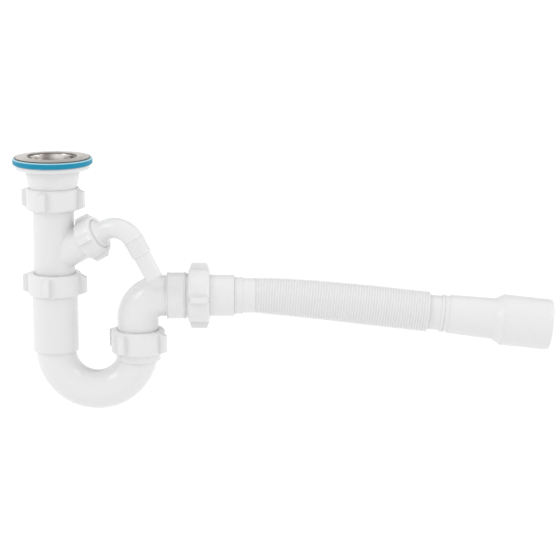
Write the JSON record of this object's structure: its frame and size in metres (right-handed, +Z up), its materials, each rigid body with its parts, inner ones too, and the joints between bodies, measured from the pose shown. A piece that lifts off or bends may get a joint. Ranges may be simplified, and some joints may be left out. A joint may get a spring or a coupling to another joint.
{
  "type": "sink trap",
  "caption": "White plastic sink trap with a steel strainer waste, a side hose tail, a water-seal U-bend, an outlet elbow and a corrugated outlet hose with a push-fit cuff.",
  "frame": {"origin": "on the upright axis of the waste, in the plane where the strainer rim and the gasket clamp the sink", "axes": "+Z up out of the sink, +X along the outlet hose, -Y the side that the hose tail turns to"},
  "size_m": [0.5385, 0.08, 0.2574],
  "materials": {
    "white_plastic": "satin",
    "blue_rubber": "satin",
    "strainer_steel": "brushed",
    "seal_rubber": "matt",
    "insert_brass": "satin"
  },
  "bodies": {
    "waste": {"steel_flange": "strainer_steel", "clamp_screw": "strainer_steel", "insert_nut": "insert_brass", "sink_gasket": "blue_rubber", "waste_body": "white_plastic", "waste_washer": "seal_rubber"},
    "waste_nut": {"waste_nut": "white_plastic"},
    "tee": {"tee_pipe": "white_plastic", "branch_washer": "seal_rubber"},
    "branch_nut": {"branch_nut": "white_plastic"},
    "hose_tail": {"hose_tail": "white_plastic"},
    "trap_seal": {"trap_washer": "seal_rubber"},
    "u_bend": {"u_bend": "white_plastic", "bend_washer": "seal_rubber"},
    "trap_nut": {"trap_nut": "white_plastic"},
    "elbow": {"outlet_elbow": "white_plastic", "outlet_washer": "seal_rubber"},
    "bend_nut": {"bend_nut": "white_plastic"},
    "outlet_nut": {"outlet_nut": "white_plastic"},
    "hose_inlet": {"hose_inlet_cuff": "white_plastic", "corrugated_hose": "white_plastic"},
    "hose_outlet": {"hose_outlet_cuff": "white_plastic"}
  },
  "joints": [
    {"name": "waste_nut_turn", "type": "hinge", "parent": "waste", "child": "waste_nut", "pos_m": [0, 0, -0.0422], "axis": [0, 0, 1], "continuous": true},
    {"name": "tee_swivel", "type": "hinge", "parent": "waste", "child": "tee", "pos_m": [0, 0, -0.0452], "axis": [0, 0, 1], "continuous": true},
    {"name": "branch_nut_turn", "type": "hinge", "parent": "tee", "child": "branch_nut", "pos_m": [0.03989, -0.01258, -0.07725], "axis": [0.8259, -0.2604, 0.5], "continuous": true},
    {"name": "tail_swing", "type": "hinge", "parent": "tee", "child": "hose_tail", "pos_m": [0.03989, -0.01258, -0.07725], "axis": [0.8259, -0.2604, 0.5], "range_deg": [-110, 0]},
    {"name": "trap_height", "type": "slide", "parent": "tee", "child": "trap_seal", "axis": [0, 0, 1], "range_m": [-0.03, 0]},
    {"name": "trap_swivel", "type": "hinge", "parent": "trap_seal", "child": "u_bend", "pos_m": [0, 0, -0.1232], "axis": [0, 0, 1], "range_deg": [0, 240]},
    {"name": "trap_nut_turn", "type": "hinge", "parent": "u_bend", "child": "trap_nut", "pos_m": [0, 0, -0.1232], "axis": [0, 0, 1], "continuous": true},
    {"name": "elbow_swivel", "type": "hinge", "parent": "u_bend", "child": "elbow", "pos_m": [0.0825, 0, -0.1812], "axis": [0, 0, 1], "range_deg": [0, 120]},
    {"name": "bend_nut_turn", "type": "hinge", "parent": "u_bend", "child": "bend_nut", "pos_m": [0.0825, 0, -0.1812], "axis": [0, 0, 1], "continuous": true},
    {"name": "outlet_nut_turn", "type": "hinge", "parent": "elbow", "child": "outlet_nut", "pos_m": [0.1474, 0, -0.1392], "axis": [1, 0, 0], "continuous": true},
    {"name": "hose_swivel", "type": "hinge", "parent": "elbow", "child": "hose_inlet", "pos_m": [0.1474, 0, -0.1392], "axis": [1, 0, 0], "continuous": true},
    {"name": "hose_bend", "type": "hinge", "parent": "hose_inlet", "child": "hose_outlet", "pos_m": [0.30043, 0, -0.14655], "axis": [0, 1, 0], "range_deg": [-45, 60], "deforming": ["corrugated_hose"]}
  ]
}
